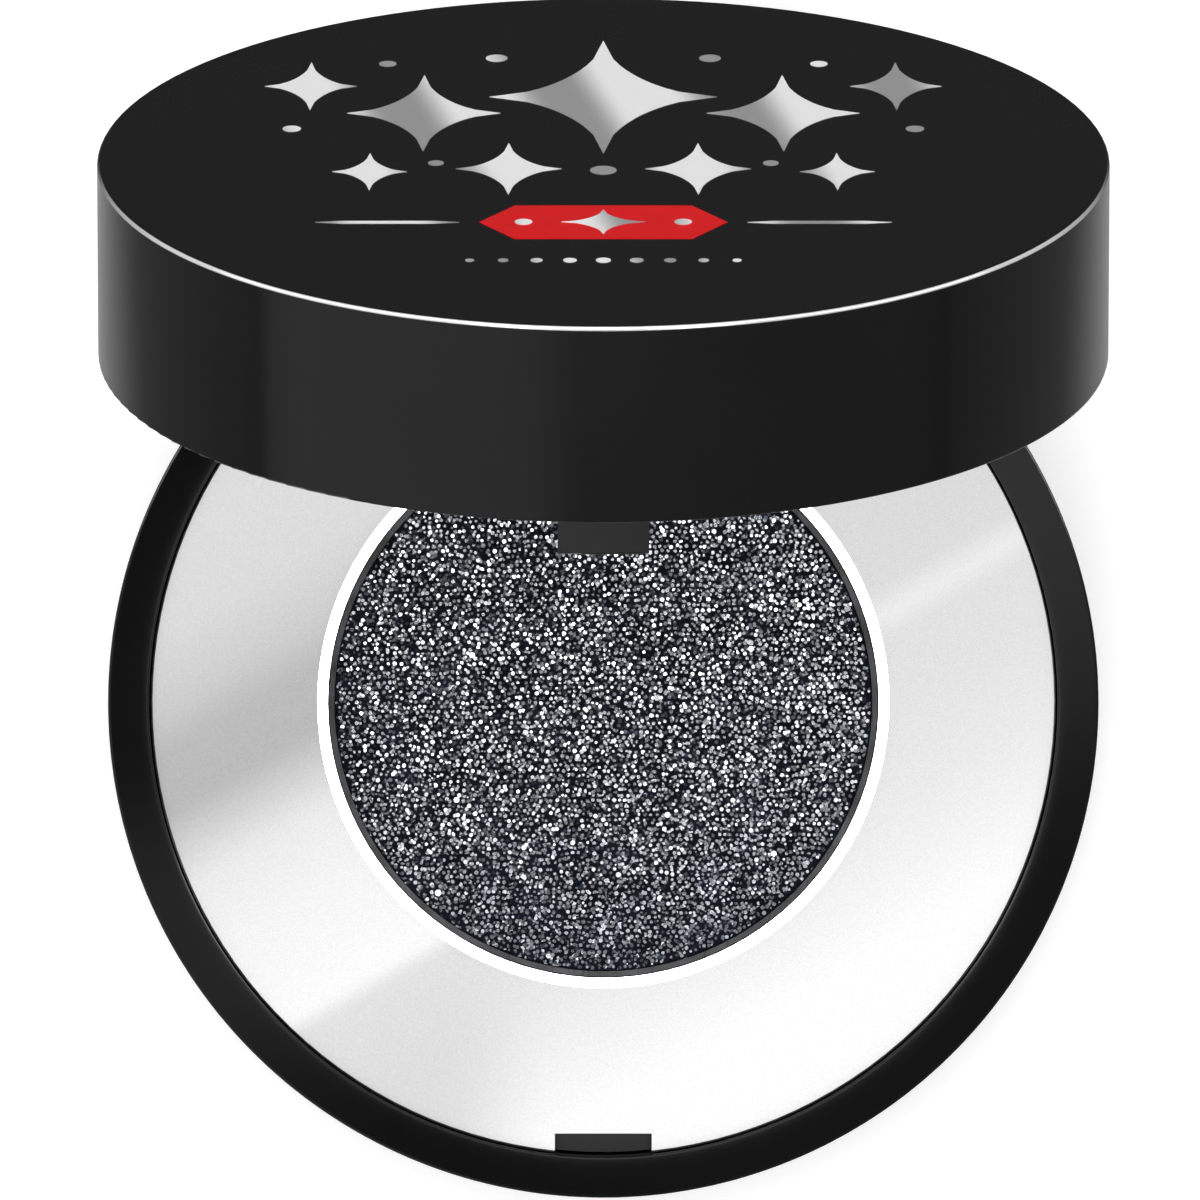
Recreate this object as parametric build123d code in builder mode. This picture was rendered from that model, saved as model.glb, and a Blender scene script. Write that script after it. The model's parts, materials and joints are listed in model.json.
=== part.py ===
from build123d import *
from math import cos, radians, sin, sqrt
import os

# A round single-pan eyeshadow compact, in millimetres. The base stands on XY with its centre
# at the origin, the catch is at the front (-Y) and the hinge at the rear (+Y). The lid is made
# half open, on planes that are turned about the hinge axis.

os.makedirs("parts", exist_ok=True)

# Case
case_radius = 23.0
base_height = 7.0
lid_height = 9.3
open_angle = 70.0  # how far the lid stands open
parting_gap = 0.1  # between the two rims when the lid is closed
edge_rounding = 0.12  # moulded edges of the rims
crown_rounding = 0.22  # edge of the lid's flat top
foot_rounding = 0.9  # lower edge of the base

# Base shell
rim_width = 1.9
floor_thickness = 1.4
rib_thickness = 0.9
pan_rib_radius = 13.0  # inner radius of the rib round the pan
ring_rib_radius = 17.6  # inner radius of the rib under the silver ring
label_radius = 14.8
label_thickness = 0.1
label_recess_depth = 0.2
label_clearance = 0.2

# Silver ring that frames the pan
ring_drop = 0.35  # face below the base's rim
ring_thickness = 0.8
ring_clearance = 0.05
ring_edge_rounding = 0.12
well_radius = 12.8
lip_width = 0.48  # shallow polished slope round the well
lip_depth = 0.08

# Pan and its filling
pan_clearance = 0.05
pan_wall = 0.25
pan_corner = 0.6
pan_drop = 0.65  # pan's rim below the ring's face
powder_drop = 0.7
powder_edge = 0.08
pan_glue_thickness = 0.15
pan_glue_radius = 10.5

# Lid shell, liner and mirror
crown_thickness = 1.6
lid_wall = 1.1  # round the liner
lid_upper_wall = 1.8  # above the liner, which sits on the step
liner_depth = 3.8
liner_clearance = 0.05
liner_face_drop = 1.2  # liner's face above the lid's rim plane
liner_core_inner = 18.8
liner_core_outer = 20.8
liner_web = 1.2
mirror_radius = 17.5
mirror_thickness = 1.1
mirror_drop = 0.1
mirror_clearance = 0.1
mirror_tape_thickness = 0.2
mirror_tape_radius = 16.5

# Catch: a tab on the liner drops through a notch in the ring, and its bead sits under the ring
notch_width = 4.5
notch_depth = 1.08
tab_width = 4.1
tab_reach = 2.3  # below the lid's rim
tab_clearance = 0.26  # to the base's wall
tab_thickness = 0.7
tab_rounding = 0.12
bead_radius = 0.25
bead_length = 2.4
bead_height = 0.65  # above the tab's tip
bead_proud = 0.05  # of the tab's inner face

# Hinge
hinge_setback = 0.6  # axis behind the case's outer wall
hinge_drop = 0.45  # axis below the base's rim
knuckle_radius = 1.5
knuckle_relief = 0.1
knuckle_gap = 0.1
lid_knuckle_length = 8.1
base_knuckle_length = 3.5
arm_height = 2.2
arm_clearance = 0.05
arm_root = 2.9  # how far the arm reaches in from the axis
lug_drop = 2.5
lug_taper = 2.0
lug_root = 2.3
heel_radius = 2.0
stop_angle = 128.0  # the heel meets the base's rear wall here
pin_radius = 0.6
pin_running_clearance = 0.05
pin_end_inset = 0.15

# Sizes that follow
wall_inner_radius = case_radius - rim_width
ring_radius = wall_inner_radius - ring_clearance
ring_face = base_height - ring_drop
ring_underside = ring_face - ring_thickness
pan_radius = well_radius - pan_clearance
pan_inner_radius = pan_radius - pan_wall
pan_bottom = floor_thickness + pan_glue_thickness
pan_floor = pan_bottom + pan_wall
pan_rim = ring_face - pan_drop
powder_face = ring_face - powder_drop
label_recess_radius = label_radius + label_clearance
liner_radius = case_radius - lid_wall - liner_clearance
mirror_seat = liner_face_drop + mirror_drop + mirror_thickness + mirror_tape_thickness
mirror_pocket_radius = mirror_radius + mirror_clearance
hinge_y = case_radius + hinge_setback
hinge_z = base_height - hinge_drop
rim_rise = base_height + parting_gap - hinge_z  # closed lid's rim above the hinge axis
lug_start = lid_knuckle_length / 2 + knuckle_gap
lug_end = lug_start + base_knuckle_length
relief_radius = knuckle_radius + knuckle_relief
tab_outer_radius = wall_inner_radius - tab_clearance
tab_inner_face = tab_outer_radius - tab_thickness

# Planes. A hinge section is cut across the hinge, with its origin on the axis, its x towards
# the rear and its y upwards; the lid's one is turned with the lid.
swing = radians(open_angle)
hinge_point = Vector(0, hinge_y, hinge_z)
lid_up = Vector(0, sin(swing), cos(swing))
lid_back = Vector(0, cos(swing), -sin(swing))
lid_centre = hinge_point - lid_back * hinge_y + lid_up * rim_rise
lid_rim = Plane(lid_centre, x_dir=(1, 0, 0), z_dir=lid_up)
lid_section = Plane(lid_centre, x_dir=(1, 0, 0), z_dir=-lid_back)
lid_axis = Axis(lid_centre, lid_up)
base_hinge_section = Plane(hinge_point, x_dir=(0, 1, 0), z_dir=(1, 0, 0))
lid_hinge_section = Plane(hinge_point, x_dir=lid_back, z_dir=(1, 0, 0))


def corner(outline, across, up):
    """The corner of a sketch that is nearest to a point."""
    return outline.vertices().sort_by_distance((across, up, 0))[0]


# Base shell: floor, wall, two ribs and two hinge knuckles on lugs
with BuildPart() as base_shell:
    with BuildSketch(Plane.XZ) as tub:
        with BuildLine():
            Polyline(
                (0, label_recess_depth),
                (label_recess_radius, label_recess_depth),
                (label_recess_radius, 0),
                (case_radius, 0),
                (case_radius, base_height),
                (wall_inner_radius, base_height),
                (wall_inner_radius, floor_thickness),
                (0, floor_thickness),
                close=True,
            )
        make_face()
        fillet(corner(tub, case_radius, 0), foot_rounding)
        fillet(corner(tub, case_radius, base_height), edge_rounding)
        fillet(corner(tub, wall_inner_radius, base_height), edge_rounding)
        fillet(corner(tub, wall_inner_radius, floor_thickness), edge_rounding)
    revolve(axis=Axis.Z)
    with BuildSketch(Plane.XY.offset(floor_thickness)):
        for rib_radius in (ring_rib_radius, pan_rib_radius):
            Circle(rib_radius + rib_thickness)
            Circle(rib_radius, mode=Mode.SUBTRACT)
    extrude(amount=ring_underside - floor_thickness)
    # pocket in the rear wall where the lid's knuckle turns
    with BuildSketch(base_hinge_section):
        Circle(relief_radius)
    extrude(amount=lug_start, both=True, mode=Mode.SUBTRACT)
    for side in (-1, 1):
        with BuildSketch(base_hinge_section.offset(side * lug_start)):
            Circle(knuckle_radius)
            with BuildLine():
                Polyline(
                    (-lug_root, 0),
                    (knuckle_radius, 0),
                    (knuckle_radius, -lug_drop),
                    (-hinge_setback, -lug_drop - lug_taper),
                    (-lug_root, -lug_drop - lug_taper),
                    close=True,
                )
            make_face()
        extrude(amount=side * base_knuckle_length)
    with BuildSketch(base_hinge_section):
        Circle(pin_radius)
    extrude(amount=lug_end, both=True, mode=Mode.SUBTRACT)
base_shell.part.label = "base_shell"
export_step(base_shell.part, "parts/base_shell.step")

# Blank label in the recess under the base
with BuildPart() as bottom_label:
    with BuildSketch(Plane.XY.offset(label_recess_depth - label_thickness)):
        Circle(label_radius)
    extrude(amount=label_thickness)
bottom_label.part.label = "bottom_label"
export_step(bottom_label.part, "parts/bottom_label.step")

# Silver ring: a flat plate with a polished slope into the well and a notch for the tab
with BuildPart() as silver_ring:
    with BuildSketch(Plane.XZ) as plate:
        with BuildLine():
            Polyline(
                (well_radius, ring_underside),
                (ring_radius, ring_underside),
                (ring_radius, ring_face),
                (well_radius + lip_width, ring_face),
                (well_radius, ring_face - lip_depth),
                close=True,
            )
        make_face()
        fillet(corner(plate, ring_radius, ring_face), ring_edge_rounding)
    revolve(axis=Axis.Z)
    with BuildSketch(Plane.XY.offset(ring_underside)):
        with Locations((0, -wall_inner_radius)):
            Rectangle(notch_width, 2 * notch_depth)
    extrude(amount=ring_thickness, mode=Mode.SUBTRACT)
silver_ring.part.label = "silver_ring"
export_step(silver_ring.part, "parts/silver_ring.step")

# Glue disc, pan and pressed powder
with BuildPart() as pan_glue:
    with BuildSketch(Plane.XY.offset(floor_thickness)):
        Circle(pan_glue_radius)
    extrude(amount=pan_glue_thickness)
pan_glue.part.label = "pan_glue"
export_step(pan_glue.part, "parts/pan_glue.step")

with BuildPart() as pan:
    with BuildSketch(Plane.XZ) as cup:
        with BuildLine():
            Polyline(
                (0, pan_bottom),
                (pan_radius, pan_bottom),
                (pan_radius, pan_rim),
                (pan_inner_radius, pan_rim),
                (pan_inner_radius, pan_floor),
                (0, pan_floor),
                close=True,
            )
        make_face()
        fillet(corner(cup, pan_radius, pan_bottom), pan_corner)
        fillet(corner(cup, pan_inner_radius, pan_floor), pan_corner - pan_wall)
    revolve(axis=Axis.Z)
pan.part.label = "pan"
export_step(pan.part, "parts/pan.step")

with BuildPart() as pressed_powder:
    with BuildSketch(Plane.XZ) as cake:
        with BuildLine():
            Polyline(
                (0, pan_floor),
                (pan_inner_radius, pan_floor),
                (pan_inner_radius, powder_face),
                (0, powder_face),
                close=True,
            )
        make_face()
        fillet(corner(cake, pan_inner_radius, pan_floor), pan_corner - pan_wall)
        fillet(corner(cake, pan_inner_radius, powder_face), powder_edge)
    revolve(axis=Axis.Z)
pressed_powder.part.label = "pressed_powder"
export_step(pressed_powder.part, "parts/pressed_powder.step")

# Hinge pin, held by the base's knuckles
with BuildPart() as hinge_pin:
    with BuildSketch(base_hinge_section):
        Circle(pin_radius)
    extrude(amount=lug_end - pin_end_inset, both=True)
hinge_pin.part.label = "hinge_pin"
export_step(hinge_pin.part, "parts/hinge_pin.step")

# Lid shell: flat crown and stepped wall, notched at the rear for the liner's hinge arm
with BuildPart() as lid_shell:
    with BuildSketch(lid_section) as cap:
        with BuildLine():
            Polyline(
                (0, lid_height - crown_thickness),
                (case_radius - lid_upper_wall, lid_height - crown_thickness),
                (case_radius - lid_upper_wall, liner_depth),
                (case_radius - lid_wall, liner_depth),
                (case_radius - lid_wall, 0),
                (case_radius, 0),
                (case_radius, lid_height),
                (0, lid_height),
                close=True,
            )
        make_face()
        fillet(corner(cap, case_radius, lid_height), crown_rounding)
        fillet(corner(cap, case_radius, 0), edge_rounding)
    revolve(axis=lid_axis)
    with BuildSketch(lid_rim):
        with Locations((0, case_radius)):
            Rectangle(lid_knuckle_length + 2 * arm_clearance, 4 * lid_wall)
    extrude(amount=arm_height + arm_clearance, mode=Mode.SUBTRACT)
    # relief for the base's knuckles
    with BuildSketch(lid_hinge_section):
        Circle(relief_radius)
    extrude(amount=lug_end + knuckle_gap, both=True, mode=Mode.SUBTRACT)
lid_shell.part.label = "lid_shell"
export_step(lid_shell.part, "parts/lid_shell.step")

# Lid liner: mirror tray with the catch tab at the front and the hinge arm at the rear
def before_opening(across, up):
    """Where a point of the fully opened lid's hinge section lies before the lid opens."""
    stop = radians(stop_angle)
    return (across * cos(stop) - up * sin(stop), across * sin(stop) + up * cos(stop))


# The heel's face lies flat on the base's rear wall when the lid is fully open.
heel_tip = before_opening(-hinge_setback, -sqrt(heel_radius**2 - hinge_setback**2))
heel_foot = before_opening(-hinge_setback, -sqrt(knuckle_radius**2 - hinge_setback**2))
with BuildPart() as lid_liner:
    with BuildSketch(lid_section) as tray:
        with BuildLine():
            Polyline(
                (0, mirror_seat),
                (mirror_pocket_radius, mirror_seat),
                (mirror_pocket_radius, liner_face_drop),
                (wall_inner_radius, liner_face_drop),
                (wall_inner_radius, 0),
                (liner_radius, 0),
                (liner_radius, liner_depth),
                (liner_core_outer, liner_depth),
                (liner_core_outer, liner_face_drop + liner_web),
                (liner_core_inner, liner_face_drop + liner_web),
                (liner_core_inner, liner_depth),
                (0, liner_depth),
                close=True,
            )
        make_face()
        fillet(corner(tray, wall_inner_radius, 0), edge_rounding)
        fillet(corner(tray, mirror_pocket_radius, liner_face_drop), edge_rounding)
    revolve(axis=lid_axis)
    # tab, then the block that joins its root to the liner's wall
    with BuildSketch(lid_rim.offset(-tab_reach)):
        Circle(tab_outer_radius)
        with Locations((0, -tab_outer_radius)):
            Rectangle(tab_width, 2 * tab_thickness, mode=Mode.INTERSECT)
    extrude(amount=tab_reach + liner_face_drop)
    fillet(lid_liner.edges().group_by(lid_axis)[0], tab_rounding)
    with BuildSketch(lid_rim.offset(edge_rounding)):
        Circle((wall_inner_radius + liner_radius) / 2)
        with Locations((0, -tab_outer_radius)):
            Rectangle(tab_width, 2 * tab_thickness, mode=Mode.INTERSECT)
    extrude(amount=liner_face_drop)
    bead_plane = Plane(
        lid_rim.from_local_coords(
            Vector(0, -tab_inner_face - bead_radius + bead_proud, bead_height - tab_reach)
        ),
        x_dir=lid_back,
        z_dir=(1, 0, 0),
    )
    with BuildSketch(bead_plane):
        Circle(bead_radius)
    extrude(amount=bead_length / 2, both=True)
    # arm and knuckle with the heel that stops the lid
    with BuildSketch(lid_hinge_section):
        Circle(knuckle_radius)
        with BuildLine():
            Polyline(
                (-arm_root, rim_rise),
                (-arm_root, rim_rise + arm_height),
                (-hinge_setback, rim_rise + arm_height),
                heel_tip,
                heel_foot,
                (0, rim_rise),
                close=True,
            )
        make_face()
    extrude(amount=lid_knuckle_length / 2, both=True)
    with BuildSketch(lid_hinge_section):
        Circle(pin_radius + pin_running_clearance)
    extrude(amount=lug_end, both=True, mode=Mode.SUBTRACT)
lid_liner.part.label = "lid_liner"
export_step(lid_liner.part, "parts/lid_liner.step")

# Mirror and the tape that holds it in the tray
with BuildPart() as mirror_tape:
    with BuildSketch(lid_rim.offset(mirror_seat - mirror_tape_thickness)):
        Circle(mirror_tape_radius)
    extrude(amount=mirror_tape_thickness)
mirror_tape.part.label = "mirror_tape"
export_step(mirror_tape.part, "parts/mirror_tape.step")

with BuildPart() as mirror_glass:
    with BuildSketch(lid_rim.offset(liner_face_drop + mirror_drop)):
        Circle(mirror_radius)
    extrude(amount=mirror_thickness)
mirror_glass.part.label = "mirror"
export_step(mirror_glass.part, "parts/mirror.step")
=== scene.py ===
import json
import math
import random

import bmesh
import bpy
from mathutils import Matrix, Vector, noise


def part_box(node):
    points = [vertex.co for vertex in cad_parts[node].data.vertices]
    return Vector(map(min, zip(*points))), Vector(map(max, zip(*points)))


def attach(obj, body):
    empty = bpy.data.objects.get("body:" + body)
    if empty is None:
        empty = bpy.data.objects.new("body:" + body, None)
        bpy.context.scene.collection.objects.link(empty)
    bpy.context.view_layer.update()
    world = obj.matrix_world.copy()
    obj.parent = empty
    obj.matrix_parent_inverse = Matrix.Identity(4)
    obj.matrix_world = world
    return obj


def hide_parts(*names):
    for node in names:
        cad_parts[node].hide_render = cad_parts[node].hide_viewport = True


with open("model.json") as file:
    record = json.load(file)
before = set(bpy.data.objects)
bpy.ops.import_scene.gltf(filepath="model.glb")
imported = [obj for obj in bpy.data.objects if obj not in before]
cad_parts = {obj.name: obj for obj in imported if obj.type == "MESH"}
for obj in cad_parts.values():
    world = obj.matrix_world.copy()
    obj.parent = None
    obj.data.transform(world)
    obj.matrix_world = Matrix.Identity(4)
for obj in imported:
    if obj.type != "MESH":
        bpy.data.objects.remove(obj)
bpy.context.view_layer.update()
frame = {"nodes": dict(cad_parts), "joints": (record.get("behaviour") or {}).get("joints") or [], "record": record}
mm = 0.001
print("compact: frame loaded")

# places worked out from the frame
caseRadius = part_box("base_shell")[1].x
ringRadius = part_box("silver_ring")[1].x
powderLow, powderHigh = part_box("pressed_powder")
powderRadius = powderHigh.x
rimTop = 7.0 * mm  # the base's rim over the table
hinge = frame["joints"][0]
hingePlace = Vector(hinge["pos_m"])
openAngle = -math.radians(hinge["range_deg"][0])
# a point of the closed lid goes to its half open place
lidTurn = (
    Matrix.Translation(hingePlace)
    @ Matrix.Rotation(openAngle, 4, Vector(hinge["axis"]))
    @ Matrix.Translation(-hingePlace)
)
lidVerts = frame["nodes"]["lid_shell"].data.vertices
lidTop = max((lidTurn.inverted() @ vert.co).z for vert in lidVerts)


class Wire:
    # one output socket that can be used in sums

    def __init__(self, finish, socket):
        self.finish = finish
        self.socket = socket

    def math(self, operation, first, second=0.0):
        return self.finish.add("ShaderNodeMath", {"operation": operation}, {0: first, 1: second})

    def __add__(self, other):
        return self.math("ADD", self, other)

    def __radd__(self, other):
        return self.math("ADD", other, self)

    def __sub__(self, other):
        return self.math("SUBTRACT", self, other)

    def __rsub__(self, other):
        return self.math("SUBTRACT", other, self)

    def __mul__(self, other):
        return self.math("MULTIPLY", self, other)

    def __rmul__(self, other):
        return self.math("MULTIPLY", other, self)

    def __pow__(self, other):
        return self.math("POWER", self, other)

    def above(self, edge):
        return self.math("GREATER_THAN", self, edge)

    def between(self, low, high):
        # 0 at low, 1 at high, smooth in between
        return self.finish.add(
            "ShaderNodeMapRange",
            {"interpolation_type": "SMOOTHSTEP"},
            {"Value": self, "From Min": low, "From Max": high},
        )


class Finish:
    # a material, and the one way to add a node to it

    def __init__(self, name):
        # a world can be given in place of a new material's name
        self.material = bpy.data.materials.new(name) if isinstance(name, str) else name
        self.material.use_nodes = True
        self.tree = self.material.node_tree
        self.tree.nodes.clear()

    def add(self, kind, settings=None, values=None, out=0):
        node = self.tree.nodes.new(kind)
        for key, value in (settings or {}).items():
            if key == "stops":
                fillRamp(node.color_ramp, value)
            else:
                setattr(node, key, value)
        for key, value in (values or {}).items():
            if isinstance(value, Wire):
                self.tree.links.new(value.socket, node.inputs[key])
            else:
                node.inputs[key].default_value = value
        return Wire(self, node.outputs[out]) if node.outputs else None

    def place(self):
        return self.add("ShaderNodeTexCoord", out="Object")

    def stretched(self, where, scale):
        settings = {"vector_type": "TEXTURE"}
        return self.add("ShaderNodeMapping", settings, {"Vector": where, "Scale": scale})

    def part(self, where, axis):
        return self.add("ShaderNodeSeparateXYZ", values={0: where}, out=axis)

    def radius(self, where):
        # distance from the middle of the compact, seen from above
        x = self.part(where, "X")
        y = self.part(where, "Y")
        return (x * x + y * y) ** 0.5

    def grain(self, scale, detail=2.0, where=None):
        values = {"Vector": where or self.place(), "Scale": scale, "Detail": detail}
        return self.add("ShaderNodeTexNoise", values=values)

    def blendColor(self, amount, first, second):
        # the colour version of a mix
        settings = {"data_type": "RGBA"}
        return self.add("ShaderNodeMix", settings, {0: amount, 6: first, 7: second}, out=2)

    def ramp(self, amount, stops):
        return self.add("ShaderNodeValToRGB", {"stops": stops}, {"Fac": amount})

    def bump(self, height, depth):
        return self.add("ShaderNodeBump", values={"Height": height, "Distance": depth})

    def surface(self, values):
        shader = self.add("ShaderNodeBsdfPrincipled", values=values)
        self.add("ShaderNodeOutputMaterial", values={"Surface": shader})
        return self.material


def fillRamp(ramp, stops):
    while len(ramp.elements) > 1:
        ramp.elements.remove(ramp.elements[-1])
    for index, (position, color) in enumerate(stops):
        stop = ramp.elements[0] if index == 0 else ramp.elements.new(position)
        stop.position = position
        stop.color = color


def gray(value):
    return (value, value, value, 1.0)


def blackMoulding(name, roughness, tone, paintedEdgeHighlight=False):
    look = {
        "smudge": 90.0,
        "rub": 1500.0,
        "ripple": 420.0,
        "rippleDepth": 0.8e-6,
        "highlightTone": 0.8,
        "highlightMetal": 0.26,
    }
    f = Finish(name)
    smudge = f.grain(look["smudge"], 3.0)
    rub = f.grain(look["rub"], 4.0)
    ripple = f.grain(look["ripple"], 2.0)
    clean = (tone, tone, tone * 1.12, 1)
    touched = (tone * 1.25, tone * 1.25, tone * 1.4, 1)
    values = {
        "Base Color": f.blendColor(smudge.between(0.3, 0.7), clean, touched),
        "Roughness": roughness + 0.05 * smudge + 0.06 * rub,
        "IOR": 1.45,
        "Normal": f.bump(ripple * 0.7 + rub * 0.3, look["rippleDepth"]),
    }
    if paintedEdgeHighlight:
        # painted highlight: the front edge of the lid's top is coloured light grey and made partly metallic
        edge = paintedHighlightMask(f)
        values["Base Color"] = f.blendColor(edge, values["Base Color"], gray(look["highlightTone"]))
        values["Metallic"] = edge * look["highlightMetal"]
    return f.surface(values)


def paintedHighlightMask(f):
    # a painted highlight: a light, partly metallic line along the front edge round the lid's flat top, fading out
    # towards the hinge, found in the closed lid's place
    look = {
        "ring": (caseRadius - 0.13 * mm, caseRadius - 0.08 * mm),
        "crown": (lidTop - 0.21 * mm, lidTop - 0.15 * mm),
        "fade": (-14 * mm, 2 * mm),
    }
    shut = lidTurn.inverted()
    closed = f.add("ShaderNodeMapping", values={
        "Vector": f.place(),
        "Location": shut.translation,
        "Rotation": shut.to_euler(),
    })
    ring = f.radius(closed).between(*look["ring"])
    crown = f.part(closed, "Z").between(*look["crown"])
    return ring * crown * (1 - f.part(closed, "Y").between(*look["fade"]))


def satinSilver():
    look = {
        "lipEdge": (13.25 * mm, 13.31 * mm),
        "plate": 0.84,
        "lip": 0.98,
        "plateRoughness": 0.14,
        "lipRoughness": 0.06,
        "grainDepth": 0.6e-6,
    }
    f = Finish("satinSilver")
    where = f.place()
    plate = f.radius(where).between(*look["lipEdge"])
    grain = f.grain(16000.0, 2.0, where)
    cloud = f.grain(260.0, 3.0, where)
    satin = f.blendColor(grain.between(0.25, 0.75), gray(look["plate"] * 0.93), gray(look["plate"]))
    rougher = look["plateRoughness"] - look["lipRoughness"]
    uneven = rougher + 0.05 * (grain - 0.5) + 0.04 * (cloud - 0.5)
    return f.surface({
        "Base Color": f.blendColor(plate, gray(look["lip"]), satin),
        "Metallic": 1.0,
        "Roughness": look["lipRoughness"] + plate * uneven,
        "Normal": f.bump(grain * plate, look["grainDepth"]),
    })


def tinplate():
    # the pan is coloured near black: painted shade for the dark ring between the silver lip and the powder
    look = {"dark": gray(0.07), "bright": (0.13, 0.13, 0.14, 1), "rolledDepth": 0.5e-6}
    f = Finish("tinplate")
    where = f.place()
    rolled = f.grain(9000.0, 3.0, f.stretched(where, (1.0, 12.0, 1.0)))
    blotch = f.grain(500.0, 3.0, where)
    return f.surface({
        "Base Color": f.blendColor(blotch.between(0.3, 0.7), look["dark"], look["bright"]),
        "Metallic": 1.0,
        "Roughness": 0.22 + 0.15 * rolled,
        "Normal": f.bump(rolled, look["rolledDepth"]),
    })


def pinSteel():
    look = {"dark": gray(0.5), "bright": gray(0.68), "drawnDepth": 1e-6}
    f = Finish("pinSteel")
    drawn = f.grain(7000.0, 3.0, f.stretched(f.place(), (10.0, 1.0, 1.0)))
    return f.surface({
        "Base Color": f.blendColor(drawn, look["dark"], look["bright"]),
        "Metallic": 1.0,
        "Roughness": 0.2 + 0.2 * drawn,
        "Normal": f.bump(drawn, look["drawnDepth"]),
    })


def pressedPowder():
    look = {
        "grainsPerMetre": 7500.0,
        "cake": (0.0012, 0.0018, 0.004, 1),
        "dust": (0.005, 0.007, 0.013, 1),
        "speckDark": (0.01, 0.013, 0.022, 1),
        "speckBright": (0.4, 0.42, 0.46, 1),
        "speckAbove": 0.84,
        "lean": 0.9,
        "reliefDepth": 12e-6,
    }
    f = Finish("pressedPowder")
    where = f.place()
    cell = {"Vector": where, "Scale": look["grainsPerMetre"]}
    cellTint = f.add("ShaderNodeTexVoronoi", values=cell, out="Color")
    picked = f.add("ShaderNodeSeparateColor", values={"Color": cellTint}, out="Red")
    shade = f.add("ShaderNodeSeparateColor", values={"Color": cellTint}, out="Green")
    drift = f.grain(500.0, 3.0, where)
    metal = (picked + 0.35 * (drift - 0.5)).above(look["speckAbove"])
    speck = f.blendColor(shade, look["speckDark"], look["speckBright"])
    cake = f.blendColor(drift.between(0.35, 0.65), look["cake"], look["dust"])
    # every grain leans its own way
    facing = f.add("ShaderNodeNewGeometry", out="Normal")
    most, middle = look["lean"], -look["lean"] / 2
    lean = f.add(
        "ShaderNodeVectorMath",
        {"operation": "MULTIPLY_ADD"},
        {0: cellTint, 1: (most, most, 0.0), 2: (middle, middle, 0.0)},
    )
    tilted = f.add("ShaderNodeVectorMath", {"operation": "ADD"}, {0: facing, 1: lean})
    normal = f.add("ShaderNodeVectorMath", {"operation": "NORMALIZE"}, {0: tilted})
    relief = {"Height": f.grain(11000.0, 3.0, where), "Distance": look["reliefDepth"], "Normal": normal}
    return f.surface({
        "Base Color": f.blendColor(metal, cake, speck),
        "Metallic": metal,
        "Specular IOR Level": 0.12,
        "Roughness": 0.85 - 0.6 * metal,
        "Normal": f.add("ShaderNodeBump", values=relief),
    })


def glitterFlake():
    look = {"dark": (0.006, 0.01, 0.022, 1), "bright": (0.9, 0.925, 0.97, 1)}
    f = Finish("glitterFlake")
    tone = f.add("ShaderNodeAttribute", {"attribute_name": "tone"}, out="Fac")
    fleck = f.grain(20000.0, 1.0)
    return f.surface({
        "Base Color": f.blendColor(tone, look["dark"], look["bright"]),
        "Metallic": 1.0,
        "Roughness": 0.14 + 0.22 * fleck,
    })


def printFoil():
    # silver print: pigment that is partly metallic, with broad dull and bright bands of painted reflection
    look = {"dull": gray(0.36), "bright": gray(0.98), "sheenTurn": -32, "sheenScale": 48.0}
    f = Finish("printFoil")
    where = f.place()
    turn = (0, 0, math.radians(look["sheenTurn"]))
    turned = f.add("ShaderNodeMapping", values={"Vector": where, "Rotation": turn})
    paintedSheen = f.add(
        "ShaderNodeTexWave",
        {"wave_profile": "SIN", "bands_direction": "X"},
        {"Vector": turned, "Scale": look["sheenScale"], "Distortion": 0.0},
    )
    fine = f.grain(14000.0, 2.0, where)
    return f.surface({
        "Base Color": f.blendColor(paintedSheen.between(0.05, 0.8), look["dull"], look["bright"]),
        "Metallic": 0.2,
        "Roughness": 0.3 + 0.12 * fine,
        "Normal": f.bump(fine, 0.5e-6),
    })


def printEnamel():
    look = {"deep": (0.56, 0.0015, 0.004, 1), "bright": (0.7, 0.003, 0.006, 1)}
    f = Finish("printEnamel")
    fine = f.grain(9000.0, 3.0)
    patchy = f.grain(700.0, 2.0)
    return f.surface({
        "Base Color": f.blendColor(patchy, look["deep"], look["bright"]),
        "Specular IOR Level": 0.12,
        "Roughness": 0.4 + 0.12 * fine,
        "Normal": f.bump(fine, 1e-6),
    })


def mirrorGlass():
    look = {"hazed": (0.9, 0.915, 0.92, 1), "clear": (0.94, 0.95, 0.95, 1)}
    f = Finish("mirrorGlass")
    haze = f.grain(60.0, 4.0)
    return f.surface({
        "Base Color": f.blendColor(haze, look["hazed"], look["clear"]),
        "Metallic": 1.0,
        "Roughness": 0.012 + 0.03 * haze.between(0.55, 0.8),
    })


def labelFilm():
    look = {"dull": (0.74, 0.74, 0.72, 1), "bright": (0.84, 0.84, 0.82, 1)}
    f = Finish("labelFilm")
    fibre = f.grain(3000.0, 5.0)
    return f.surface({
        "Base Color": f.blendColor(fibre, look["dull"], look["bright"]),
        "Roughness": 0.42 + 0.15 * fibre,
        "Normal": f.bump(fibre, 4e-6),
    })


def softFilling(name, dull, bright, roughness):
    # glue and foam tape, which only show when the compact comes apart
    f = Finish(name)
    pore = f.grain(2500.0, 4.0)
    return f.surface({
        "Base Color": f.blendColor(pore, dull, bright),
        "Roughness": roughness + 0.1 * pore,
        "Normal": f.bump(pore, 15e-6),
    })


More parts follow.
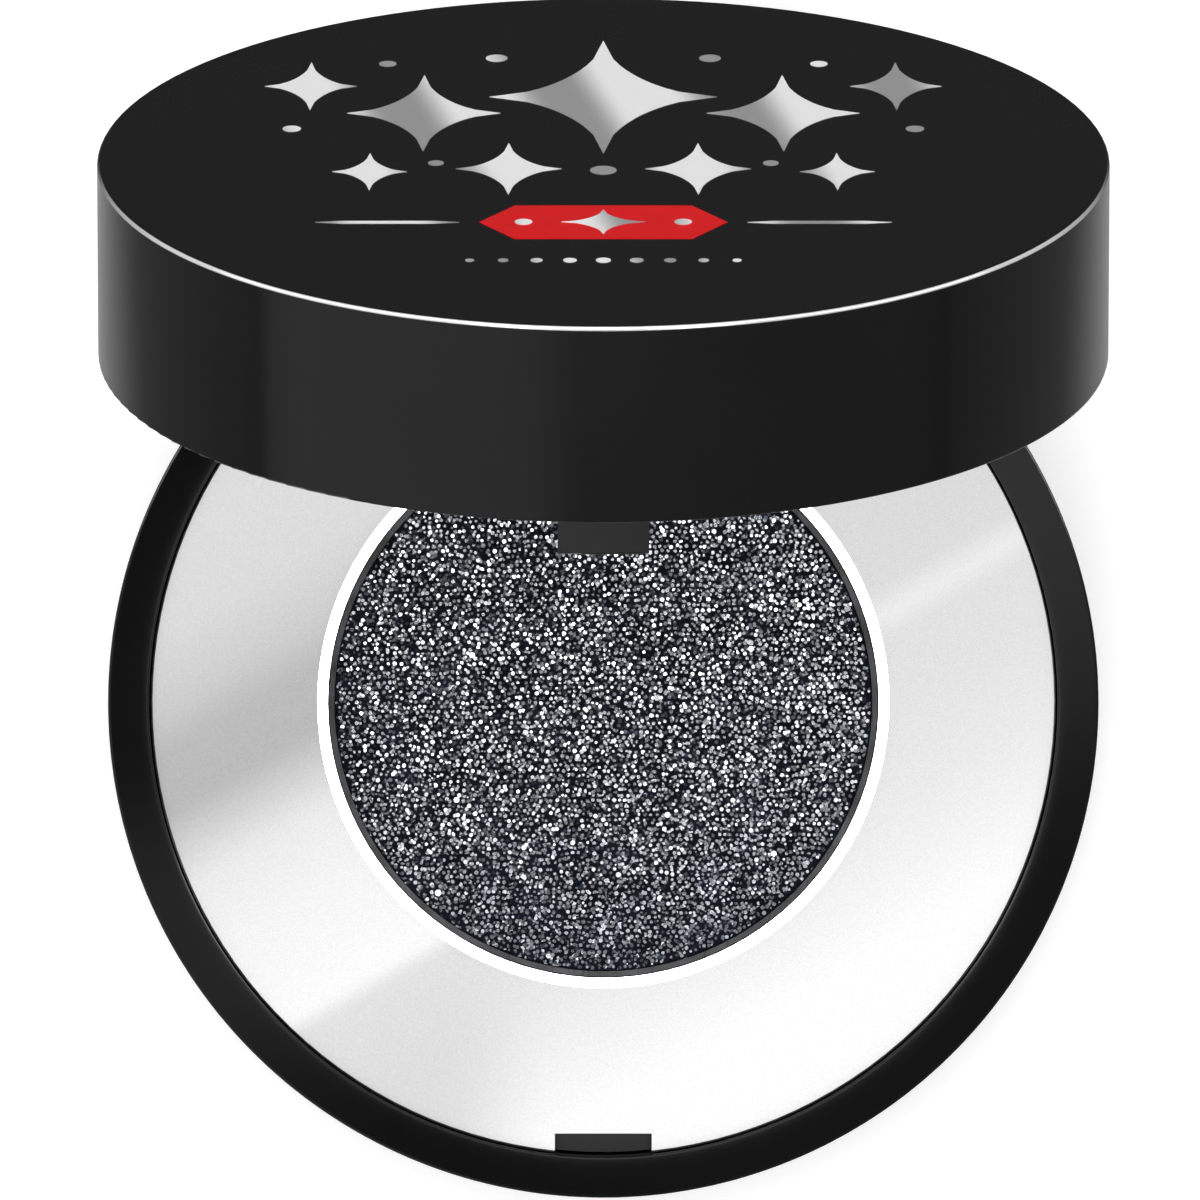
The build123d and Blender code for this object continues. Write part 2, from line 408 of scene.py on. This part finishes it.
slotFinish = {
    "black_plastic": blackMoulding("blackMoulding", 0.08, 0.004),
    "liner_plastic": blackMoulding("linerMoulding", 0.24, 0.008),
    "satin_silver": satinSilver(),
    "tinplate": tinplate(),
    "pin_steel": pinSteel(),
    "mirror_glass": mirrorGlass(),
    "label_film": labelFilm(),
    "glue": softFilling("hotGlue", (0.5, 0.46, 0.34, 1), (0.62, 0.58, 0.46, 1), 0.3),
    "tape_foam": softFilling("foamTape", (0.72, 0.72, 0.7, 1), (0.85, 0.85, 0.83, 1), 0.75),
}
for part in frame["record"]["subparts"]:
    finish = slotFinish.get(part["material_slot"])
    if finish:
        frame["nodes"][part["node"]].material_slots[0].material = finish
# the lid's moulding carries a painted highlight along the front edge of its top
lidFinish = blackMoulding("lidMoulding", 0.08, 0.004, paintedEdgeHighlight=True)
frame["nodes"]["lid_shell"].material_slots[0].material = lidFinish
print("compact: finishes made and put on the frame's parts")


def makeObject(bm, name, finish):
    mesh = bpy.data.meshes.new(name)
    bm.to_mesh(mesh)
    bm.free()
    mesh.materials.append(finish)
    thing = bpy.data.objects.new(name, mesh)
    bpy.context.scene.collection.objects.link(thing)
    return thing


def placePiece(bm, name, finish, body):
    piece = makeObject(bm, name, finish)
    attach(piece, body)
    return piece


# a closed cake of powder with a grainy top
powderPlan = {
    "rings": 88,
    "turns": 300,
    "relief": 0.05 * mm,
    "coarse": (1.1, 0.5),  # how close the swells lie, and how much they count
    "fine": (4.2, 0.6),
    "sink": 0.35,
    "flatEdge": 0.8 * mm,
    "edgeRound": 0.1 * mm,
    "lowerCorner": 0.35 * mm,
    "seed": 3.7,
}


def powderRise(x, y):
    # height of the powder's grain over its flat face
    p = powderPlan
    spot = Vector((x, y, p["seed"] * mm)) / mm
    coarse = p["coarse"][1] * noise.noise(spot * p["coarse"][0])
    fine = p["fine"][1] * noise.noise(spot * p["fine"][0])
    toEdge = (powderRadius - math.hypot(x, y)) / p["flatEdge"]
    return p["relief"] * (coarse + fine - p["sink"]) * min(1.0, max(0.0, toEdge))


def makePowder():
    p = powderPlan
    bm = bmesh.new()
    top, low = powderHigh.z, powderLow.z
    edge, corner = p["edgeRound"], p["lowerCorner"]
    path = [Vector((0, 0, top))]
    for step in range(1, p["rings"] + 1):
        path.append(Vector(((powderRadius - edge) * step / p["rings"], 0, top)))
    path.append(Vector((powderRadius - 0.3 * edge, 0, top - 0.3 * edge)))
    path.append(Vector((powderRadius, 0, top - edge)))
    path.append(Vector((powderRadius, 0, low + corner)))
    path.append(Vector((powderRadius - corner, 0, low)))
    path.append(Vector((0, 0, low)))
    verts = [bm.verts.new(point) for point in path]
    edges = [bm.edges.new(pair) for pair in zip(verts, verts[1:])]
    bmesh.ops.spin(
        bm, geom=verts + edges, cent=(0, 0, 0), axis=(0, 0, 1), angle=math.tau,
        steps=p["turns"], use_merge=True, use_duplicate=False,
    )
    bmesh.ops.remove_doubles(bm, verts=bm.verts, dist=1e-6)
    for vert in bm.verts:
        if vert.co.z > top - 1e-7:
            vert.co.z += powderRise(vert.co.x, vert.co.y)
    bmesh.ops.recalc_face_normals(bm, faces=bm.faces)
    for face in bm.faces:
        face.smooth = True
    piece = placePiece(bm, "powder_cake", pressedPowder(), "base")
    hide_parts("pressed_powder")


makePowder()
print("compact: powder pressed")


# thin hexagonal flakes of glitter that lie side by side in the powder
glitterPlan = {
    "seed": 41,
    "spacing": 0.262 * mm,
    "rowStep": 0.866,  # part of the spacing, as flakes lie in a honeycomb
    "jitter": 0.3,
    "radius": (0.065, 0.108),  # mm, corner to middle
    "lean": 13.0,  # degrees, for most of them
    "leanLimit": 50.0,
    "thickness": 0.014 * mm,
    "dullShare": 0.28,
    "dullTone": 0.25,
    "brightTone": 0.4,  # the dimmest of the bright flakes
    # painted light: the flakes get brighter towards the hinge, making up for the lid's shade over the back of the
    # powder
    "frontToBack": 0.85,  # how much brighter the flakes get towards the hinge
    "cluster": 1.3 * mm,
    "dust": {"count": 1800, "radius": (0.04, 0.06), "dullShare": 0.6},
    "boldShare": 0.006,
    "boldGrowth": 1.5,
    "edgeGap": 0.05 * mm,
    "batch": 250,
}


def addFlake(bm, layer, x, y, radius, tone, dice):
    p = glitterPlan
    lean = math.radians(min(p["leanLimit"], abs(dice.gauss(0, p["lean"]))))
    heading = dice.uniform(0, math.tau)
    z = powderHigh.z + powderRise(x, y) + p["thickness"] * 0.4
    z += dice.uniform(-0.1, 0.5) * radius * math.sin(lean)
    where = (
        Matrix.Translation((x, y, z))
        @ Matrix.Rotation(lean, 4, Vector((math.cos(heading), math.sin(heading), 0)))
        @ Matrix.Rotation(dice.uniform(0, math.tau), 4, "Z")
    )
    flake = bmesh.ops.create_cone(
        bm, cap_ends=True, cap_tris=False, segments=6, radius1=radius, radius2=radius,
        depth=p["thickness"], matrix=where,
    )
    for vert in flake["verts"]:
        vert[layer] = tone


def flakeTone(x, y, dullShare, dice):
    # bright and dull flakes drift into loose clusters
    p = glitterPlan
    cloud = 0.5 + 0.6 * noise.noise(Vector((x, y, 0)) / p["cluster"])
    # painted light: brighter towards the hinge, against the lid's shade
    paintedHingeLight = 1.0 + p["frontToBack"] * y / powderRadius
    if dice.random() < dullShare * (1.5 - cloud):
        return dice.uniform(0.0, p["dullTone"])
    return paintedHingeLight * (p["brightTone"] + (1.0 - p["brightTone"]) * dice.random())


def makeFlakes(name, spots, finish, dice):
    # spots are (x, y, radius, tone); small batches keep the mesh quick to grow
    whole = bmesh.new()
    for start in range(0, len(spots), glitterPlan["batch"]):
        part = bmesh.new()
        layer = part.verts.layers.float.new("tone")
        for x, y, radius, tone in spots[start:start + glitterPlan["batch"]]:
            addFlake(part, layer, x, y, radius, tone, dice)
        batch = bpy.data.meshes.new("flakeBatch")
        part.to_mesh(batch)
        part.free()
        whole.from_mesh(batch)
        bpy.data.meshes.remove(batch)
    placePiece(whole, name, finish, "base")


def makeGlitter():
    p = glitterPlan
    dice = random.Random(p["seed"])
    finish = glitterFlake()
    inside = powderRadius - p["edgeGap"]
    rowStep = p["rowStep"]
    rows = int(powderRadius / (p["spacing"] * rowStep)) + 1
    grid = []
    for row in range(-rows, rows + 1):
        for column in range(-rows, rows + 1):
            x = (column + 0.5 * (row % 2) + dice.uniform(-1, 1) * p["jitter"]) * p["spacing"]
            y = (row * rowStep + dice.uniform(-1, 1) * p["jitter"]) * p["spacing"]
            bold = dice.random() < p["boldShare"]
            radius = dice.uniform(*p["radius"]) * mm * (p["boldGrowth"] if bold else 1.0)
            if math.hypot(x, y) < inside - radius:
                tone = 1.0 if bold else flakeTone(x, y, p["dullShare"], dice)
                grid.append((x, y, radius, tone))
    half = len(grid) // 2
    makeFlakes("glitter_front", grid[:half], finish, dice)
    makeFlakes("glitter_back", grid[half:], finish, dice)
    dust = []
    for _ in range(p["dust"]["count"]):
        radius = dice.uniform(*p["dust"]["radius"]) * mm
        reach = (inside - radius) * math.sqrt(dice.random())
        heading = dice.uniform(0, math.tau)
        x, y = reach * math.cos(heading), reach * math.sin(heading)
        dust.append((x, y, radius, flakeTone(x, y, p["dust"]["dullShare"], dice)))
    makeFlakes("glitter_dust", dust, finish, dice)


makeGlitter()
print("compact: glitter scattered")


# silver print on the lid, in mm from the middle of its top, y towards the hinge
printPlan = {
    "thickness": 0.02 * mm,
    # centre, half width and half height
    "sparkles": [
        (0.0, 8.7, 5.2, 8.0), (-8.2, 6.4, 3.5, 5.4), (8.2, 6.4, 3.5, 5.4),
        (-13.4, 10.2, 2.1, 3.4), (13.4, 10.2, 2.1, 3.4), (-4.3, -1.4, 2.4, 3.6),
        (4.3, -1.4, 2.4, 3.6), (-10.6, -1.8, 1.7, 2.6), (10.6, -1.8, 1.7, 2.6),
    ],
    "pinch": 0.62,
    # centre and radius
    "dots": [
        (-4.9, 14.2, 0.5), (4.9, 14.2, 0.5), (-9.9, 13.4, 0.4), (9.9, 13.4, 0.4),
        (-14.2, 4.2, 0.42), (14.2, 4.2, 0.42), (0.0, -1.6, 0.6),
        (-7.6, -0.6, 0.36), (7.6, -0.6, 0.36),
    ],
    "badgeAt": -8.8,
    "badge": (5.6, 2.3, 1.6),  # half width, half height and length of the pointed ends
    "badgeSparkle": (1.9, 1.7),
    "badgeDots": (3.6, 0.4),
    "barLength": 6.5,
    "barWidth": 0.34,
    "barPoint": 1.2,
    "barGap": 0.9,
    "beadRowAt": -14.0,
    "beads": 9,
    "beadStep": 1.5,
    "beadRadius": 0.34,
    "beadShrink": 0.1,
}


def thicken(bm, faces):
    # raise a flat outline off the lid as a closed sliver of foil
    raised = bmesh.ops.extrude_face_region(bm, geom=faces)
    lifted = [item for item in raised["geom"] if isinstance(item, bmesh.types.BMVert)]
    bmesh.ops.translate(bm, verts=lifted, vec=(0, 0, printPlan["thickness"]))


def addSparkle(bm, x, y, halfWidth, halfHeight):
    power = printPlan["pinch"]
    ring = bmesh.ops.create_circle(bm, cap_ends=True, segments=48, radius=1.0)["verts"]
    for vert in ring:
        turn = math.atan2(vert.co.y, vert.co.x)
        # concave between four points, like a drawn twinkle
        pinch = (abs(math.cos(turn)) ** power + abs(math.sin(turn)) ** power) ** (-1 / power)
        vert.co = Vector((
            (x + halfWidth * pinch * math.cos(turn)) * mm,
            (y + halfHeight * pinch * math.sin(turn)) * mm,
            lidTop,
        ))
    thicken(bm, list({face for vert in ring for face in vert.link_faces}))


def addDot(bm, x, y, radius):
    dot = bmesh.ops.create_circle(
        bm, cap_ends=True, segments=24, radius=radius * mm,
        matrix=Matrix.Translation((x * mm, y * mm, lidTop)),
    )
    thicken(bm, list({face for vert in dot["verts"] for face in vert.link_faces}))


def addPlate(bm, x, y, width, height, point):
    # a thin bar whose two ends come to a point, from its half width and half height
    corners = [
        (-width, 0), (point - width, -height), (width - point, -height),
        (width, 0), (width - point, height), (point - width, height),
    ]
    verts = [bm.verts.new(((x + a) * mm, (y + b) * mm, lidTop)) for a, b in corners]
    thicken(bm, [bm.faces.new(verts)])


def finishPrint(bm, name, finish):
    bmesh.ops.recalc_face_normals(bm, faces=bm.faces)
    bmesh.ops.transform(bm, matrix=lidTurn, verts=bm.verts)
    placePiece(bm, name, finish, "lid")


def makePrint():
    p = printPlan
    foil = printFoil()
    sparkles = bmesh.new()
    for sparkle in p["sparkles"]:
        addSparkle(sparkles, *sparkle)
    finishPrint(sparkles, "print_sparkles", foil)
    dots = bmesh.new()
    for dot in p["dots"]:
        addDot(dots, *dot)
    for index in range(p["beads"]):
        away = index - (p["beads"] - 1) / 2
        radius = p["beadRadius"] * (1 - p["beadShrink"] * abs(away))
        addDot(dots, away * p["beadStep"], p["beadRowAt"], radius)
    finishPrint(dots, "print_dots", foil)
    bars = bmesh.new()
    for side in (-1, 1):
        middle = side * (p["badge"][0] + p["barGap"] + p["barLength"] / 2)
        size = (p["barLength"] / 2, p["barWidth"] / 2, p["barPoint"])
        addPlate(bars, middle, p["badgeAt"], *size)
    finishPrint(bars, "print_bars", foil)
    badge = bmesh.new()
    addPlate(badge, 0, p["badgeAt"], *p["badge"])
    finishPrint(badge, "print_badge", printEnamel())
    # the badge's own silver marks lie on the red
    marks = bmesh.new()
    addSparkle(marks, 0, p["badgeAt"], *p["badgeSparkle"])
    away, radius = p["badgeDots"]
    for side in (-1, 1):
        addDot(marks, side * away, p["badgeAt"], radius)
    bmesh.ops.translate(marks, verts=marks.verts, vec=(0, 0, p["thickness"]))
    finishPrint(marks, "print_marks", foil)


makePrint()
print("compact: lid printed")


floorPlan = {
    "size": 6.0,
    "drop": 0.02 * mm,
    "tone": 0.9,
    "lift": 0.4,
    # brightness the floor has in a gloss, beside the compact and farther off
    "near": 0.45,
    "far": 0.2,
    "fade": (38 * mm, 66 * mm),
}


def placeStage(bm, name, material):
    thing = makeObject(bm, name, material)
    return thing


def makeFloor():
    p = floorPlan
    f = Finish("paleFloor")
    where = f.place()
    mottle = f.grain(4.0, 3.0, where)
    away = f.radius(where).between(*p["fade"])
    pale = f.add("ShaderNodeBsdfDiffuse", values={
        "Color": f.blendColor(mottle, gray(p["tone"]), gray(p["tone"] * 0.985)),
    })
    lift = f.add("ShaderNodeEmission", values={"Color": gray(1.0), "Strength": p["lift"]})
    seen = f.add("ShaderNodeAddShader", values={0: pale, 1: lift})
    shy = f.add("ShaderNodeBsdfDiffuse", values={
        "Color": f.blendColor(away, gray(p["near"]), gray(p["far"])),
    })
    isCamera = f.add("ShaderNodeLightPath", out="Is Camera Ray")
    isGlossy = f.add("ShaderNodeLightPath", out="Is Glossy Ray")
    bounced = f.add("ShaderNodeMixShader", values={0: isGlossy, 1: pale, 2: shy})
    both = f.add("ShaderNodeMixShader", values={0: isCamera, 1: bounced, 2: seen})
    f.add("ShaderNodeOutputMaterial", values={"Surface": both})
    bm = bmesh.new()
    below = Matrix.Translation((0, 0, -p["drop"]))
    bmesh.ops.create_grid(bm, x_segments=1, y_segments=1, size=p["size"] / 2, matrix=below)
    placeStage(bm, "floor", f.material)


def hideFromAllButGloss(thing):
    for ray in ("camera", "diffuse", "shadow", "transmission", "volume_scatter"):
        setattr(thing, "visible_" + ray, False)


def ringCard(name, material, inner, outer, height):
    # a flat ring over the compact that only shows in reflections
    bm = bmesh.new()
    ends = [bm.verts.new((inner, 0, height)), bm.verts.new((outer, 0, height))]
    edge = bm.edges.new(ends)
    bmesh.ops.spin(
        bm, geom=ends + [edge], cent=(0, 0, 0), axis=(0, 0, 1), angle=math.tau,
        steps=96, use_merge=True, use_duplicate=False,
    )
    hideFromAllButGloss(placeStage(bm, name, material))


def glow(name, level):
    f = Finish(name)
    light = f.add("ShaderNodeEmission", values={"Color": gray(1.0), "Strength": level})
    f.add("ShaderNodeOutputMaterial", values={"Surface": light})
    return f.material


# a bright board close over the ring, with slanting bands that run across the silver
boardPlan = {
    "height": 12 * mm,
    "hole": 12.9 * mm,
    "radius": 26 * mm,
    "turn": -30.0,
    "span": 50,
    # place along the bands' normal in mm, from the upper left, and brightness there
    "left": [
        (-16, 0.88), (-13, 0.86), (-9.9, 0.73), (-8.2, 0.59), (-5.6, 0.57), (-2.2, 1.0), (1, 1.1),
        (5.7, 1.18), (6.3, 0.91), (10.5, 0.87), (13.4, 0.88), (15.2, 0.94), (17, 1.12),
    ],
    "right": [
        (-2, 0.85), (1.8, 0.87), (3.1, 1.05), (4.0, 0.91), (7, 0.93), (11, 1.0), (14, 1.1),
        (16.5, 1.2),
    ],
    "halvesMeet": (-8 * mm, -2 * mm),
    # what the black rim reflects: a little everywhere, more at the right and the front left
    "rimGlow": 0.02,
    "rimRight": 0.75,
    "rimFrontLeft": 0.35,
}


def makeBoard():
    p = boardPlan
    f = Finish("bandBoard")
    where = f.place()
    x = f.part(where, "X")
    y = f.part(where, "Y")
    turn = (0, 0, math.radians(-p["turn"]))
    turned = f.add(
        "ShaderNodeMapping", {"vector_type": "TEXTURE"}, {"Vector": where, "Rotation": turn})
    along = f.part(turned, "Y") * (-1000 / p["span"]) + 0.5
    isRight = x.between(*p["halvesMeet"])
    left = f.ramp(along, bandStops(p["left"]))
    right = f.ramp(along, bandStops(p["right"]))
    atRight = y.between(-9 * mm, 12 * mm) * isRight
    atFront = y.between(-21 * mm, -12 * mm) * (1 - y.between(-10 * mm, -2 * mm))
    atFrontLeft = atFront * (1 - x.between(-18 * mm, -8 * mm))
    shine = p["rimGlow"] + p["rimRight"] * atRight + p["rimFrontLeft"] * atFrontLeft
    rim = f.add("ShaderNodeCombineColor", values={"Red": shine, "Green": shine, "Blue": shine})
    onRim = f.radius(where).between(ringRadius, ringRadius + 0.4 * mm)
    level = f.blendColor(onRim, f.blendColor(isRight, left, right), rim)
    light = f.add("ShaderNodeEmission", values={"Color": level, "Strength": 1.0})
    f.add("ShaderNodeOutputMaterial", values={"Surface": light})
    ringCard("bandBoard", f.material, p["hole"], p["radius"], p["height"])


def bandStops(pairs):
    return [(0.5 + place / boardPlan["span"], gray(level)) for place, level in pairs]


cardPlan = {
    # two rings high above light the polished lip and the glitter that leans a little
    "halo": {"level": 9.0, "radius": (78 * mm, 100 * mm)},
    "glimmer": {"level": 2.6, "radius": (100 * mm, 150 * mm)},
    "ringHeight": 300 * mm,
    # dark cloth behind the lid, so that its black top stays black
    "cloth": {"level": 0.07, "size": 100 * mm, "place": (0, 130 * mm, 0.6 * mm)},
}


def makeCards():
    p = cardPlan
    for name in ("halo", "glimmer"):
        card = p[name]
        ringCard(name, glow(name + "Glow", card["level"]), *card["radius"], p["ringHeight"])
    cloth = p["cloth"]
    bm = bmesh.new()
    place = Matrix.Translation(cloth["place"])
    bmesh.ops.create_grid(bm, x_segments=1, y_segments=1, size=cloth["size"], matrix=place)
    hideFromAllButGloss(placeStage(bm, "darkCloth", glow("darkCloth", cloth["level"])))


skyPlan = {
    # brighter to the left than to the right, dark overhead
    "side": [(0.0, 0.62), (0.36, 0.56), (0.455, 0.22), (1.0, 0.2)],
    "dome": [(0.0, 0.12), (0.46, 0.5), (0.5, 0.72), (0.57, 1.0), (0.9, 1.0), (0.95, 0.3)],
    "behind": 0.97,
}


def makeWorld():
    world = bpy.data.worlds.new("studioWorld")
    bpy.context.scene.world = world
    f = Finish(world)
    where = f.add("ShaderNodeTexCoord", out="Generated")
    ramps = []
    for axis, name in (("X", "side"), ("Z", "dome")):
        stops = [(place, gray(level)) for place, level in skyPlan[name]]
        ramps.append(f.ramp(f.part(where, axis) * 0.5 + 0.5, stops))
    multiply = {"data_type": "RGBA", "blend_type": "MULTIPLY"}
    lit = f.add("ShaderNodeMix", multiply, {0: 1.0, 6: ramps[0], 7: ramps[1]}, out=2)
    isCamera = f.add("ShaderNodeLightPath", out="Is Camera Ray")
    color = f.blendColor(isCamera, lit, gray(skyPlan["behind"]))
    sky = f.add("ShaderNodeBackground", values={"Color": color, "Strength": 1.0})
    f.add("ShaderNodeOutputWorld", values={"Surface": sky})


# power in watts, size, place, what it faces, and whether gloss and matt surfaces see it
lampPlan = {
    "skyFill": (14.0, (1.4, 1.4), (0, 0, 1.3), (0, 0, 0.02), False, True),
    "frontFill": (4.0, (1.0, 0.8), (-0.3, -1.2, 0.9), (0, 0, 0.02), False, True),
    "backFill": (7.0, (1.0, 0.8), (0.2, 1.3, 0.6), (0, 0, 0.02), False, True),
    # high behind, for a thin line on the front edge of the lid's top
    "crownBox": (5.5, (1.7, 0.34), (0.12, 0.4, 0.5), (0.12, 0.01, 0.05), True, False),
    # low boxes that carry the line round to the sides
    "rightBackBox": (1.0, (0.3, 0.34), (0.62, 0.38, 0.2), (0.01, 0.01, 0.04), True, False),
    "leftBackBox": (0.7, (0.3, 0.34), (-0.62, 0.38, 0.2), (-0.01, 0.01, 0.04), True, False),
}


def softLight(name, power, size, place, aim, inGloss, onMatt):
    data = bpy.data.lights.new(name, "AREA")
    data.shape = "RECTANGLE"
    data.size, data.size_y = size
    data.energy = power
    light = bpy.data.objects.new(name, data)
    bpy.context.scene.collection.objects.link(light)
    light.location = place
    light.rotation_mode = "QUATERNION"
    light.rotation_quaternion = (Vector(aim) - Vector(place)).to_track_quat("-Z", "Y")
    light.visible_camera = False
    light.visible_glossy = inGloss
    light.visible_diffuse = onMatt


shotPlan = {
    "height": 1150 * mm,
    "width": 55.71 * mm,
    "centre": (-0.153 * mm, 4.756 * mm),
    "sensor": 36.0,
}


def makeCamera():
    p = shotPlan
    data = bpy.data.cameras.new("shot")
    data.sensor_width = p["sensor"]
    data.lens = p["sensor"] * p["height"] / p["width"]
    data.clip_start = 0.05
    data.clip_end = 10.0
    shot = bpy.data.objects.new("shot", data)
    bpy.context.scene.collection.objects.link(shot)
    shot.location = (*p["centre"], rimTop + p["height"])
    bpy.context.scene.camera = shot


makeFloor()
makeBoard()
makeCards()
makeWorld()
for lampName, lamp in lampPlan.items():
    softLight(lampName, *lamp)
makeCamera()
bpy.context.scene.view_settings.view_transform = "Standard"
print("compact: studio lit")
